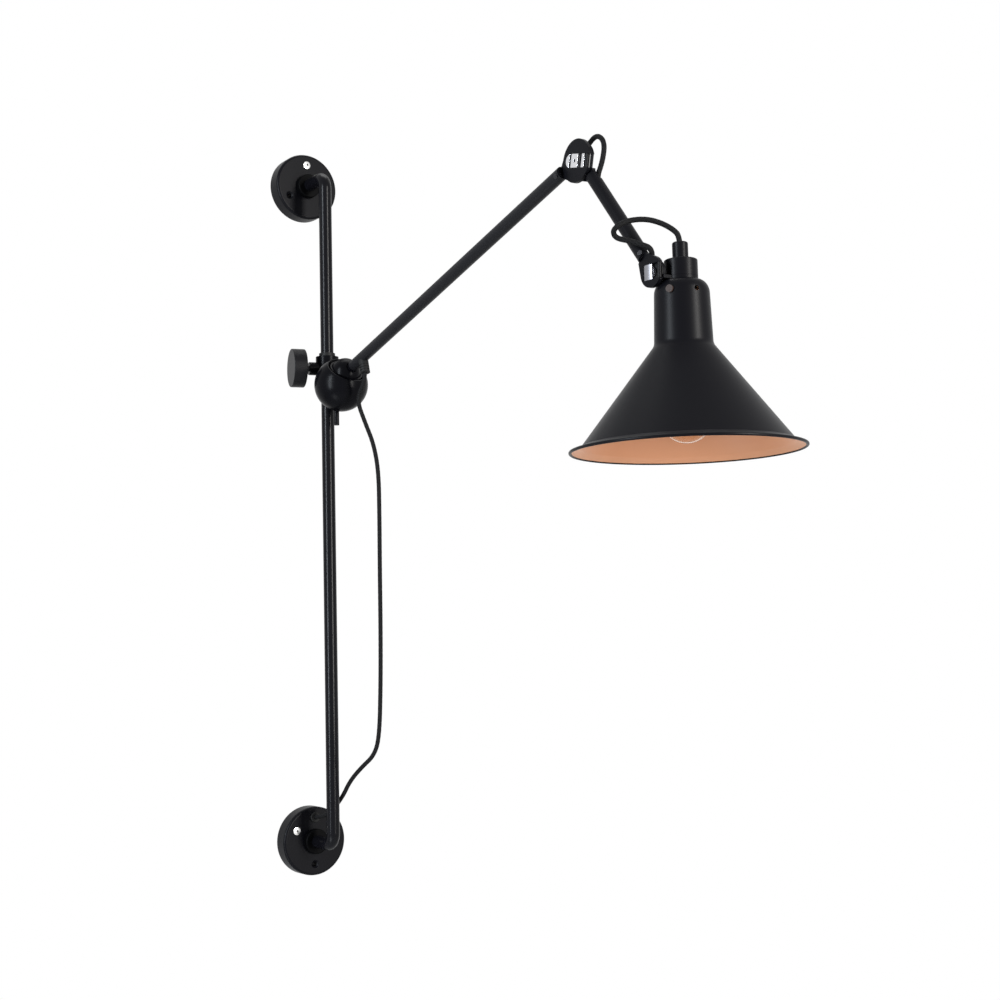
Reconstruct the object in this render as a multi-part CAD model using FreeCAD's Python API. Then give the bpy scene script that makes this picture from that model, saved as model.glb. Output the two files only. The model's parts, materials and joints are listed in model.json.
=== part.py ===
import FreeCAD, Part
import math
import os

V = FreeCAD.Vector
X = V(1, 0, 0)
Y = V(0, 1, 0)
Z = V(0, 0, 1)
OUT = V(0, -1, 0)

# fits
run_gap = 0.05
face_gap = 0.1
free_gap = 0.3

# wall bar and rosettes
bar_d = 14.0
bar_wall = 1.5
bar_standoff = 61.5
bar_bend_r = 13.0
rosette_spacing = 732.0
rosette_d = 74.2
rosette_depth = 18.3
rosette_wall = 2.5
rosette_round = 3.0
screw_pcd = 50.0
screw_hole_d = 4.5
screw_head_d = 9.0
post_d = 10.0
top_hole_deg = 90.0
bottom_hole_deg = 30.0
boss_d = 27.0
boss_h = 6.5
boss_round = 1.5
nut_af = 20.0
nut_h = 5.0
bar_end_inside = 3.0

# cable
cable_d = 4.6
grommet_d = 11.0
grommet_neck_d = 8.6
grommet_lip = 2.5
grommet_height = 26.0
block_w = 20.0
block_h = 9.0
block_d = 8.0
block_foot = 3.0
block_stand = 4.5

# slider and ball housing
bush_wall = 0.95
bush_flange_d = 17.6
bush_flange_h = 4.0
bush_tail = 6.0
bush_slit = 1.2
clip_d = 19.0
clip_h = 2.0
sleeve_d = 25.0
sleeve_top_z = -202.5
sleeve_len = 40.0
housing_d = 58.0
housing_out = 31.9
housing_z = -237.8
mouth_deg = 48.271
mouth_face = 19.5
mouth_groove_r = 20.6
mouth_groove_from = 15.5
cavity_d = 36.0
cavity_floor = -8.0
ball_d = 33.0
ball_offset = 14.8727
ring_back = 13.6
ring_top = 18.8
seat_bottom = -5.4
seat_top = 6.0
spring_t = 1.2
spring_in_d = 18.0
spring_out_d = 32.0
stud_d = 5.5
stud_len = 22.0
stud_deep = 6.0
stud_out = 20.5
stud_slot_w = 1.0
stud_slot_deep = 1.5

# clamp knob
knob_z = -215.9
knob_deg = 14.0
clamp_boss_d = 14.3
clamp_boss_end = 20.6
clamp_screw_d = 6.5
shoe_d = 8.0
shoe_len = 4.2
shoe_room = 15.0
knob_near = 26.0
knob_d = 42.0
knob_t = 14.5
knob_round = 0.9
screw_in_knob = 8.7

# lower arm
arm_d = 12.0
arm_wall = 1.0
lower_len = 441.1
lower_deg = 16.03
stem_d = 11.0
stem_pin_d = 8.0
stem_pin_from = 4.0
stem_seat = 14.0
stem_end = 20.0
spigot_len = 14.0
ferrule_at = 41.0
ferrule_d = 10.4
ferrule_drop = 18.0
ferrule_neck_d = 6.6
ferrule_groove = 0.6
ferrule_groove_w = 1.2
ferrule_groove_step = 2.8
ferrule_groove_low = 2.0
lower_cable_end = 50.0
lead_bend = 3.0
exit_cut_len = 22.0

# elbow
jaw_t = 3.5
elbow_r = 19.0
elbow_neck = 20.4
jaw_spigot = 11.0
jaw_spigot_root = 1.0
jaw_root_share = 0.5
jaw_wide_share = 0.866
elbow_slot = 11.8
elbow_slot_in = 14.8
elbow_slot_deg = -13.0
pivot_front = 2.9
pivot_back = 6.7
pivot_end_from = 10.0
pivot_rib_from = 8.0
pivot_rib_to = 11.7
pivot_strip_x = 1.6
pivot_proud = 0.3
pivot_d = 8.0
pivot_eye = 2.6
pivot_eye_deep = 2.0
washer_t = 0.7
elbow_far_r = 16.5
elbow_washer_r = 8.0
elbow_far_slot_in = 9.2
elbow_far_pin_at = 14.8
elbow_far_pin_hold = 1.3
pivot_nut_af = 13.0
pivot_nut_h = 4.7
wrist_nut_af = 11.0
wrist_nut_h = 3.2
pin_d = 2.8
elbow_pin_at = 13.5
elbow_pin_share = 0.66
rivet_d = 2.8
rivet_head_d = 4.6
rivet_head_h = 0.8
elbow_rivet_at = 24.0
elbow_rivet_deg = -22.0

# upper arm and wrist
upper_len = 146.8
upper_deg = -51.73
wrist_r = 13.0
wrist_neck = 17.0
wrist_slot = 12.8
wrist_slot_in = 9.6
wrist_block_out = 1.0
wrist_face_r = 14.0
wrist_washer_r = 10.5
wrist_pin_at = 9.4
wrist_pin_share = 0.62
wrist_rivet_at = 20.0
wrist_rivet_deg = 25.0
half_open = 9.0

# lamp head, heights measured from the wrist pivot along the head's own axis
head_tilt_deg = 0.6
head_side = 22.0
head_out = 7.9
ear_r = 10.0
ear_t = 3.4
foot_half = 11.5
bracket_top = -3.8
bracket_t = 3.0
cap_d = 27.5
cap_h = 14.3
cap_wall = 1.5
cap_round = 1.0
gland_d = 13.0
gland_h = 14.9
gland_round = 1.5
nipple_d = 10.0
nipple_bore = 7.0
nipple_len = 24.0
shade_t = 1.0
shade_top_r = 14.0
shade_neck_r = 22.7
shade_neck_z = -18.0
shoulder_out = 0.72
shoulder_down = 0.30
shade_cone_r = 24.05
shade_cone_z = -59.7
lip_width = 10.1
shade_lip_z = -140.5
rim_r = 96.3
rim_z = -146.2
rim_bead = 1.3
lip_t = 1.0
lip_dip = 0.9
vent_d = 4.2
screw_z = -17.0
shade_screw_deg = 205.0
shade_screw_d = 3.2
shade_screw_head_d = 6.2
shade_screw_head_h = 1.6
shade_screw_in = 3.6
shade_vent_deg = 261.5
holder_d = 25.0
holder_end = -78.0
socket_d = 14.0
socket_deep = 24.0
bulb_d = 45.0
bulb_tip = -139.6
bulb_neck_d = 18.0
bulb_wall = 1.2
bulb_hole_d = 10.0
bulb_neck_z = -81.0
bulb_base_top = -56.0
bulb_join = 0.85

# sizes that follow from the ones above
cut_len = rim_r * 2
shade_lip_r = rim_r - lip_width
bar_r = bar_d / 2
arm_r = arm_d / 2
arm_bore_r = arm_r - arm_wall
cable_r = cable_d / 2
bush_in_r = bar_r + run_gap
bush_out_r = bush_in_r + bush_wall
sleeve_bore_r = bush_out_r + run_gap
ball_r = ball_d / 2
bar_y = -bar_standoff
mouth = V(0, -math.cos(math.radians(mouth_deg)), math.sin(math.radians(mouth_deg)))
housing = V(0, bar_y - housing_out, housing_z)
ball_c = housing + mouth * ball_offset
knob_dir = V(-math.cos(math.radians(knob_deg)), math.sin(math.radians(knob_deg)), 0)
knob_c = V(0, bar_y, knob_z)
elbow_flat = ball_c + OUT * lower_len
washer_x = jaw_t + face_gap
jaw2_x = washer_x + washer_t
jaw2_far = jaw2_x + jaw_t
upper_x = jaw2_far


def cyl(r, h, base, axis):
    return Part.makeCylinder(r, h, base, axis)


def ring(r_out, r_in, h, base, axis):
    return cyl(r_out, h, base, axis).cut(cyl(r_in, h, base, axis))


def box(x0, x1, y0, y1, z0, z1):
    return Part.makeBox(x1 - x0, y1 - y0, z1 - z0, V(x0, y0, z0))


def turned(points, base, axis):
    corners = [V(r, 0, h) for r, h in points]
    face = Part.Face(Part.makePolygon(corners + [corners[0]]))
    solid = face.revolve(V(0, 0, 0), Z, 360)
    solid.Placement = FreeCAD.Placement(base, FreeCAD.Rotation(Z, axis))
    return solid


def hexagon(af, h, base, axis):
    r = af / math.sqrt(3)
    corners = [V(r * math.cos(math.radians(60 * i)), r * math.sin(math.radians(60 * i)), 0) for i in range(7)]
    prism = Part.Face(Part.makePolygon(corners)).extrude(Z * h)
    prism.Placement = FreeCAD.Placement(base, FreeCAD.Rotation(Z, axis))
    return prism


def flat(points, x0, x1):
    corners = [V(x0, y, z) for y, z in points]
    face = Part.Face(Part.makePolygon(corners + [corners[0]]))
    return face.extrude(X * (x1 - x0))


def rounded(shape, r, test):
    return shape.makeFillet(r, [e for e in shape.Edges if test(e)])


def at_y(y, r):
    def test(e):
        b = e.BoundBox
        return abs(b.YMin - y) < 0.01 and abs(b.YMax - y) < 0.01 and abs(b.XLength - 2 * r) < 0.01
    return test


def lift(shape, pivot, deg):
    moved = shape.copy()
    moved.rotate(pivot, X, -deg)
    return moved


def lift_point(p, pivot, deg):
    return pivot + FreeCAD.Rotation(X, -deg).multVec(p - pivot)


def export(name, shape):
    solid = shape.removeSplitter()
    if solid.ShapeType != "Solid":
        if len(solid.Solids) != 1:
            print("PIECES", name, len(solid.Solids))
        solid = solid.Solids[0]
    if not solid.isValid():
        print("INVALID", name)
    solid.exportStep("parts/" + name + ".step")
    b = solid.BoundBox
    spans = (b.XMin, b.XMax, b.YMin, b.YMax, b.ZMin, b.ZMax)
    print(name, " ".join("%.1f" % s for s in spans), "vol %.0f" % solid.Volume)


def tangent_path(points, bend):
    edges = []
    radii = []
    start = points[0]
    for i in range(1, len(points) - 1):
        back = points[i - 1] - points[i]
        ahead = points[i + 1] - points[i]
        half = (math.pi - back.getAngle(ahead)) / 2
        reach = bend * math.tan(half) if bend else 0.45 * min(back.Length, ahead.Length)
        radius = reach / math.tan(half)
        back.normalize()
        ahead.normalize()
        middle = back + ahead
        middle.normalize()
        centre = points[i] + middle * (radius / math.cos(half))
        near = points[i] + back * reach
        far = points[i] + ahead * reach
        edges.append(Part.makeLine(start, near))
        edges.append(Part.Arc(near, centre - middle * radius, far).toShape())
        radii.append(radius)
        start = far
    edges.append(Part.makeLine(start, points[-1]))
    return Part.Wire(edges), radii


def swept(points, r, bend):
    path, radii = tangent_path(points, bend)
    disc = Part.Wire(Part.makeCircle(r, points[0], points[1] - points[0]))
    return path.makePipeShell([disc], True, False), path.Length, radii


def cord(name, points):
    solid, length, radii = swept(points, cable_r, 0)
    section = math.pi * cable_r ** 2
    print(name, "length %.1f" % length, "volume/section %.4f" % (solid.Volume / section / length))
    print(name, "bend radii", " ".join("%.1f" % r for r in radii))
    export(name, solid)


def hole_centres(centre, first_deg):
    spots = []
    for i in range(3):
        a = math.radians(first_deg + 120 * i)
        spots.append(centre + V(math.cos(a), 0, math.sin(a)) * (screw_pcd / 2))
    return spots


# one rosette, its boss and its lock nut, opening toward the wall
def rosette(name, centre, first_deg, cable_hole):
    front = -rosette_depth
    inside = front + rosette_wall
    body = cyl(rosette_d / 2, rosette_depth, centre, OUT)
    body = rounded(body, rosette_round, at_y(front, rosette_d / 2))
    body = body.cut(cyl(rosette_d / 2 - rosette_wall, -inside, centre, OUT))
    for spot in hole_centres(centre, first_deg):
        body = body.fuse(cyl(post_d / 2, -inside, spot, OUT))
        body = body.cut(cyl(screw_hole_d / 2, rosette_depth, spot, OUT))
        sink = (screw_head_d - screw_hole_d) / 2
        mouth_c = spot + OUT * (rosette_depth - sink)
        body = body.cut(Part.makeCone(screw_hole_d / 2, screw_head_d / 2, sink, mouth_c, OUT))
    body = body.cut(cyl(bar_r, rosette_depth, centre, OUT))
    if cable_hole:
        spot = centre + Z * grommet_height
        body = body.cut(cyl(grommet_neck_d / 2, rosette_depth, spot, OUT))
    export(name + "_rosette", body)
    boss = ring(boss_d / 2, bar_r, boss_h, centre + OUT * rosette_depth, OUT)
    boss = rounded(boss, boss_round, at_y(front - boss_h, boss_d / 2))
    export(name + "_boss", boss)
    nut = hexagon(nut_af, nut_h, centre + Y * (inside + nut_h), OUT)
    export(name + "_lock_nut", nut.cut(cyl(bar_r, nut_h * 3, centre + Y * (inside + nut_h), OUT)))


def wall_bar():
    end_y = -rosette_depth + rosette_wall + nut_h + bar_end_inside
    low = V(0, 0, -rosette_spacing)
    points = [V(0, end_y, 0), V(0, bar_y, 0), low + V(0, bar_y, 0), low + V(0, end_y, 0)]
    solid = swept(points, bar_r, bar_bend_r)[0]
    hollow = swept(points, bar_r - bar_wall, bar_bend_r)[0]
    export("bar_tube", solid.cut(hollow))


def cable_entry():
    spot = V(0, 0, -rosette_spacing + grommet_height)
    front = spot + OUT * rosette_depth
    inside = rosette_depth - rosette_wall
    flange = cyl(grommet_d / 2, grommet_lip, front, OUT)
    neck = cyl(grommet_neck_d / 2, rosette_wall, front, Y)
    tail = cyl(grommet_d / 2, grommet_lip, spot + OUT * inside, Y)
    bore = cyl(cable_r, rosette_depth * 2, spot + OUT * rosette_depth * 2, Y)
    export("cable_grommet", flange.fuse(neck).fuse(tail).cut(bore))
    y0 = -inside + block_stand
    half = block_w / 2
    z0 = spot.z - block_h / 2
    z1 = spot.z + block_h / 2
    block = box(-half, half, y0, y0 + block_d, z0, z1)
    for side in (-half, half - block_foot):
        block = block.fuse(box(side, side + block_foot, -inside, y0, z0, z1))
    export("terminal_block", block)
    return V(0, y0, spot.z)


def slider():
    top = sleeve_top_z + face_gap
    bottom = sleeve_top_z - sleeve_len
    axis_at = V(0, bar_y, 0)
    bush = cyl(bush_out_r, top - bottom + bush_tail, axis_at + Z * (bottom - bush_tail), Z)
    bush = bush.fuse(cyl(bush_flange_d / 2, bush_flange_h, axis_at + Z * top, Z))
    bush = bush.cut(cyl(bush_in_r, cut_len, axis_at + Z * (bottom - cut_len / 2), Z))
    slit_low = bottom - cut_len / 2
    slit_high = top + cut_len / 2
    bush = bush.cut(box(-bush_slit / 2, bush_slit / 2, bar_y, bar_y + sleeve_d, slit_low, slit_high))
    export("slide_bush", bush)
    clip = ring(clip_d / 2, bush_out_r, clip_h, axis_at + Z * (bottom - face_gap - clip_h), Z)
    export("bush_clip", clip)

    body = Part.makeSphere(housing_d / 2, housing)
    body = body.cut(cyl(housing_d, housing_d, housing + mouth * mouth_face, mouth))
    body = body.fuse(cyl(sleeve_d / 2, sleeve_len, axis_at + Z * bottom, Z))
    body = body.fuse(cyl(clamp_boss_d / 2, clamp_boss_end, knob_c, knob_dir))
    body = body.cut(cyl(sleeve_bore_r, sleeve_len * 3, axis_at + Z * (bottom - sleeve_len), Z))
    clip_room = cyl(clip_d / 2 + free_gap, sleeve_len, axis_at + Z * (bottom - sleeve_len), Z)
    body = body.cut(clip_room)
    body = body.cut(cyl(cavity_d / 2, housing_d, housing + mouth * cavity_floor, mouth))
    groove_at = housing + mouth * mouth_groove_from
    groove_h = mouth_face - mouth_groove_from
    body = body.cut(Part.makeCone(cavity_d / 2, mouth_groove_r, groove_h, groove_at, mouth))
    body = body.cut(cyl(shoe_d / 2 + run_gap, shoe_room, knob_c, knob_dir))
    body = body.cut(cyl(clamp_screw_d / 2 + run_gap, clamp_boss_end, knob_c, knob_dir))
    stud_y = bar_y - stud_out
    below = math.sqrt((housing_d / 2) ** 2 - (stud_y - housing.y) ** 2)
    stud_top = V(0, stud_y, housing_z - below + stud_deep)
    stud = cyl(stud_d / 2, stud_len, stud_top, -Z)
    body = body.cut(stud)
    export("slider_body", body)
    half = stud_slot_w / 2
    tip_z = stud_top.z - stud_len
    slot = box(-stud_d, stud_d, stud_y - half, stud_y + half, tip_z, tip_z + stud_slot_deep)
    export("tension_stud", stud.cut(slot))

    lip = cyl(cavity_d / 2, ring_top - ring_back, housing + mouth * ring_back, mouth)
    export("retaining_ring", lip.cut(Part.makeSphere(ball_r + free_gap, ball_c)))
    seat = cyl(cavity_d / 2 - face_gap, seat_top - seat_bottom, housing + mouth * seat_bottom, mouth)
    export("ball_seat", seat.cut(Part.makeSphere(ball_r + run_gap, ball_c)))
    dome = seat_bottom - face_gap - cavity_floor
    a = spring_in_d / 2
    b = spring_out_d / 2
    section = [(b, 0), (b, spring_t), (a, dome), (a, dome - spring_t)]
    export("seat_spring", turned(section, housing + mouth * cavity_floor, mouth))


def clamp():
    near = bush_out_r + free_gap
    shoe = cyl(shoe_d / 2, shoe_len + near, knob_c, knob_dir)
    shoe = shoe.cut(cyl(near, sleeve_d, knob_c - Z * sleeve_d / 2, Z))
    export("clamp_shoe", shoe)
    start = near + shoe_len + run_gap
    stem = cyl(clamp_screw_d / 2, knob_near + screw_in_knob - start, knob_c + knob_dir * start, knob_dir)
    knob = cyl(knob_d / 2, knob_t, V(0, 0, 0), Z)
    knob = knob.makeFillet(knob_round, [e for e in knob.Edges if abs(e.Length - math.pi * knob_d) < 0.01])
    knob.Placement = FreeCAD.Placement(knob_c + knob_dir * knob_near, FreeCAD.Rotation(Z, knob_dir))
    export("clamp_knob", knob.cut(stem))
    export("clamp_screw", stem)


def on_lower(shape):
    return lift(shape, ball_c, lower_deg)


def ball_joint():
    pin = cyl(stem_pin_d / 2, stem_seat - stem_pin_from, ball_c + OUT * stem_pin_from, OUT)
    neck = cyl(stem_d / 2, stem_end - stem_seat, ball_c + OUT * stem_seat, OUT)
    spigot = cyl(arm_bore_r - run_gap, spigot_len, ball_c + OUT * stem_end, OUT)
    sphere = Part.makeSphere(ball_r, ball_c).cut(pin).cut(neck)
    export("swivel_ball", on_lower(sphere))
    export("ball_stem", on_lower(pin.fuse(neck).fuse(spigot)))


# a half-lap jaw: disc, tapering neck and a spigot that fills a tube end
def jaw(pivot, x0, r, neck, side, tube_x, half_only):
    disc = cyl(r, jaw_t, pivot + X * x0, X)
    tip_y = pivot.y + side * neck
    root_y = pivot.y + side * r * jaw_root_share
    wide = r * jaw_wide_share
    low = pivot.z - wide
    high = pivot.z + wide
    corners = [(tip_y, pivot.z - arm_r), (root_y, low), (root_y, high), (tip_y, pivot.z + arm_r)]
    plate = disc.fuse(flat(corners, x0, x0 + jaw_t))
    spigot_at = V(tube_x, pivot.y + side * (neck - jaw_spigot_root), pivot.z)
    spigot = cyl(arm_bore_r, jaw_spigot + jaw_spigot_root, spigot_at, Y * side)
    if half_only:
        reach = sorted((pivot.y, pivot.y + side * (neck + jaw_spigot * 2)))
        spigot = spigot.common(box(x0 - arm_d, tube_x, reach[0], reach[1], pivot.z - arm_d, pivot.z + arm_d))
    return plate.fuse(spigot)


def rivet(pivot, tube_x, at, turn_deg):
    head = cyl(rivet_head_d / 2, arm_r + rivet_head_h, V(tube_x, pivot.y + at, pivot.z), -X)
    head = head.cut(cyl(arm_r, rivet_head_d * 2, V(tube_x, pivot.y + at - rivet_head_d, pivot.z), Y))
    shank = cyl(rivet_d / 2, arm_r + rivet_head_h, V(tube_x, pivot.y + at, pivot.z), -X)
    pin = head.fuse(shank)
    pin.rotate(V(tube_x, 0, pivot.z), Y, turn_deg)
    return pin


def slot_cut(pivot, x0, height, inner, turn_deg, round_end):
    half = height / 2
    far = elbow_r * 2
    inner_y = pivot.y + (inner - half if round_end else inner)
    cut = box(x0 - 1, x0 + jaw_t + 1, pivot.y - far, inner_y, pivot.z - half, pivot.z + half)
    if round_end:
        cut = cut.fuse(cyl(half, jaw_t + 2, V(x0 - 1, inner_y, pivot.z), X))
    return lift(cut, pivot, turn_deg)


def cross_pin(pivot, x_mid, at, length, turn_deg):
    pin = cyl(pin_d / 2, length, V(x_mid, pivot.y - at, pivot.z - length / 2), Z)
    return lift(pin, pivot, turn_deg)


def lower_arm():
    e = elbow_flat
    tube_from = stem_end + face_gap
    tube_len = lower_len - elbow_neck - tube_from
    tube = ring(arm_r, arm_bore_r, tube_len, ball_c + OUT * tube_from, OUT)
    drop = ball_c + OUT * ferrule_at
    tube = tube.cut(cyl(ferrule_neck_d / 2, arm_d, drop, -Z))
    pin = rivet(e, 0, elbow_rivet_at, elbow_rivet_deg)
    tube = tube.cut(pin)
    leave = elbow_route()
    tube = tube.cut(cyl(cable_r + free_gap * 2, exit_cut_len, leave[1], leave[2] - leave[1]))
    export("lower_tube", on_lower(tube))

    ferrule = cyl(ferrule_d / 2, ferrule_drop, drop, -Z)
    for i in range(3):
        z = drop.z - ferrule_drop + ferrule_groove_low + ferrule_groove_step * i
        groove = ring(ferrule_d, ferrule_d / 2 - ferrule_groove, ferrule_groove_w, V(drop.x, drop.y, z), Z)
        ferrule = ferrule.cut(groove)
    ferrule = ferrule.cut(cyl(arm_r, arm_d * 3, drop + Y * arm_d * 1.5, OUT))
    ferrule = ferrule.fuse(cyl(ferrule_neck_d / 2, arm_d - arm_bore_r, drop - Z * arm_bore_r, -Z))
    ferrule = ferrule.cut(cyl(cable_r, ferrule_drop * 2, drop, -Z))
    export("cable_ferrule", on_lower(ferrule))

    join = ferrule_drop - ferrule_inside
    run = lower_len - lower_cable_end - ferrule_at
    lead = swept([drop + OUT * run, drop, drop - Z * join], cable_r, lead_bend)[0]
    export("lower_cable", on_lower(lead))

    turn = elbow_slot_deg - lower_deg
    plate = jaw(e, 0, elbow_r, elbow_neck, 1, 0, False)
    plate = plate.cut(slot_cut(e, 0, elbow_slot, elbow_slot_in, turn, True))
    bolt = cross_pin(e, jaw_t / 2, elbow_pin_at, 2 * elbow_r * elbow_pin_share, turn)
    plate = plate.cut(bolt).cut(pin)
    export("lower_jaw", on_lower(plate))
    export("elbow_pin", on_lower(bolt))
    export("lower_rivet", on_lower(pin))

    half = elbow_slot / 2
    z0 = e.z - half
    z1 = e.z + half
    head = box(-pivot_proud, jaw_t, e.y - pivot_front, e.y + pivot_back, z0, z1)
    eye_y = e.y + (pivot_back - pivot_front) / 2
    eye = pivot_eye / 2
    head = head.cut(box(-pivot_proud, pivot_eye_deep, eye_y - eye, eye_y + eye, e.z - eye, e.z + eye))
    end = cyl(half, jaw_t, e + Y * (elbow_slot_in - half), X)
    end = end.common(box(0, jaw_t, e.y + pivot_end_from, e.y + elbow_slot_in, z0, z1))
    rib = box(0, jaw_t, e.y - pivot_rib_to, e.y - pivot_rib_from, z0, z1)
    strip = box(pivot_strip_x, jaw_t, e.y - pivot_rib_to, e.y + elbow_slot_in - half, z0, z1)
    strip = strip.fuse(cyl(half, jaw_t - pivot_strip_x, e + V(pivot_strip_x, elbow_slot_in - half, 0), X))
    head = head.fuse(end).fuse(rib).fuse(strip)
    head = lift(head, e, turn)
    nut_x = jaw2_far + face_gap
    shank = cyl(pivot_d / 2, nut_x + pivot_nut_h - jaw_t / 2, e + X * (jaw_t / 2), X)
    export("elbow_pivot", on_lower(head.fuse(shank)))
    nut = hexagon(pivot_nut_af, pivot_nut_h, e + X * nut_x, X)
    export("elbow_nut", on_lower(nut.cut(cyl(pivot_d / 2, pivot_nut_h, e + X * nut_x, X))))


# cable points from the tube's exit over the elbow, in the lower arm's level frame
def elbow_route():
    spots = [(0.0, -50.0, 0.0), (1.6, -40.5, 1.6), (7.2, -28.5, 6.4), (12.2, -14.0, 11.0), (15.0, 1.0, 16.0)]
    spots += [(14.8, 15.0, 20.5), (14.2, 23.0, 8.0), (12.6, 16.5, -8.0), (10.6, 9.3, -21.2)]
    return [elbow_flat + V(x, -a, w) for x, a, w in spots]


def upper_arm(e):
    def on_upper(shape):
        return lift(shape, e, upper_deg)

    w = e + OUT * upper_len
    tube_len = upper_len - elbow_neck - wrist_neck
    tube = ring(arm_r, arm_bore_r, tube_len, V(upper_x, e.y - elbow_neck, e.z), OUT)
    for y in (e.y - elbow_neck, w.y + wrist_neck + half_open):
        tube = tube.cut(box(upper_x + face_gap, upper_x + arm_d, y - half_open, y, e.z - arm_d, e.z + arm_d))
    pin = rivet(w, upper_x, wrist_rivet_at, wrist_rivet_deg)
    export("upper_tube", on_upper(tube.cut(pin)))

    plate = jaw(e, jaw2_x, elbow_far_r, elbow_neck, -1, upper_x, True)
    bore = cyl(pivot_d / 2 + run_gap, cut_len, e - X * cut_len / 2, X)
    turn = elbow_slot_deg - upper_deg
    plate = plate.cut(slot_cut(e, jaw2_x, elbow_slot, -elbow_far_slot_in, turn, False))
    bar_len = elbow_slot + 2 * elbow_far_pin_hold
    plate = plate.fuse(cross_pin(e, jaw2_x + jaw_t / 2, elbow_far_pin_at, bar_len, turn))
    export("upper_jaw", on_upper(plate.cut(bore)))
    washer = cyl(elbow_washer_r, washer_t, e + X * washer_x, X)
    export("elbow_washer", on_upper(washer.cut(bore)))

    turn = -upper_deg
    foot = jaw(w, jaw2_x, wrist_r, wrist_neck, 1, upper_x, True)
    foot = foot.cut(slot_cut(w, jaw2_x, wrist_slot, wrist_slot_in, turn, False))
    bolt = cross_pin(w, jaw2_x + jaw_t / 2, wrist_pin_at, 2 * wrist_r * wrist_pin_share, turn)
    foot = foot.cut(bolt).cut(pin)
    export("wrist_jaw", on_upper(foot))
    export("wrist_pin", on_upper(bolt))
    export("wrist_rivet", on_upper(pin))

    half = wrist_slot / 2
    block_x = jaw2_x - pivot_proud
    head = box(block_x, jaw2_far, w.y - wrist_block_out, w.y + wrist_slot_in, w.z - half, w.z + half)
    mid_y = w.y + (wrist_slot_in - wrist_block_out) / 2
    barrel = cyl(wrist_face_r, wrist_slot, V(block_x + wrist_face_r, mid_y, w.z - half), Z)
    head = lift(head.common(barrel), w, turn)
    nut_x = jaw2_far + face_gap + washer_t + ear_t + face_gap
    shank = cyl(pivot_d / 2, nut_x + wrist_nut_h - jaw2_far + 1, w + X * (jaw2_far - 1), X)
    export("wrist_pivot", on_upper(head.fuse(shank)))
    nut = hexagon(wrist_nut_af, wrist_nut_h, w + X * nut_x, X)
    export("wrist_nut", on_upper(nut.cut(cyl(pivot_d / 2, wrist_nut_h, w + X * nut_x, X))))

    inset = cable_offset
    first = e + V(upper_x + inset, -cable_in - free_gap, 0)
    lead = cyl(cable_r, upper_len - cable_in - cable_out - free_gap, first, OUT)
    export("upper_cable", on_upper(lead))
    return lift_point(w, e, upper_deg)


def shade_solid(inset):
    rise = math.hypot(shade_lip_r - shade_cone_r, shade_cone_z - shade_lip_z)
    skew = inset * rise / (shade_cone_z - shade_lip_z)
    top = bracket_top - bracket_t - inset
    neck_r = shade_neck_r - inset
    cone_r = shade_cone_r - inset
    knee = V(shade_top_r, 0, top)
    side = V(neck_r, 0, shade_neck_z)
    bow_r = shade_top_r + (neck_r - shade_top_r) * shoulder_out
    bow = V(bow_r, 0, top + (shade_neck_z - top) * shoulder_down)
    lip = V(shade_lip_r - skew, 0, shade_lip_z)
    chain = [V(0, 0, top), knee, side, V(cone_r, 0, shade_cone_z), lip, V(0, 0, shade_lip_z)]
    edges = [Part.makeLine(chain[0], chain[1]), Part.Arc(knee, bow, side).toShape()]
    for i in range(2, 5):
        edges.append(Part.makeLine(chain[i], chain[i + 1]))
    edges.append(Part.makeLine(chain[5], chain[0]))
    return Part.Face(Part.Wire(edges)).revolve(V(0, 0, 0), Z, 360)


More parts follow.
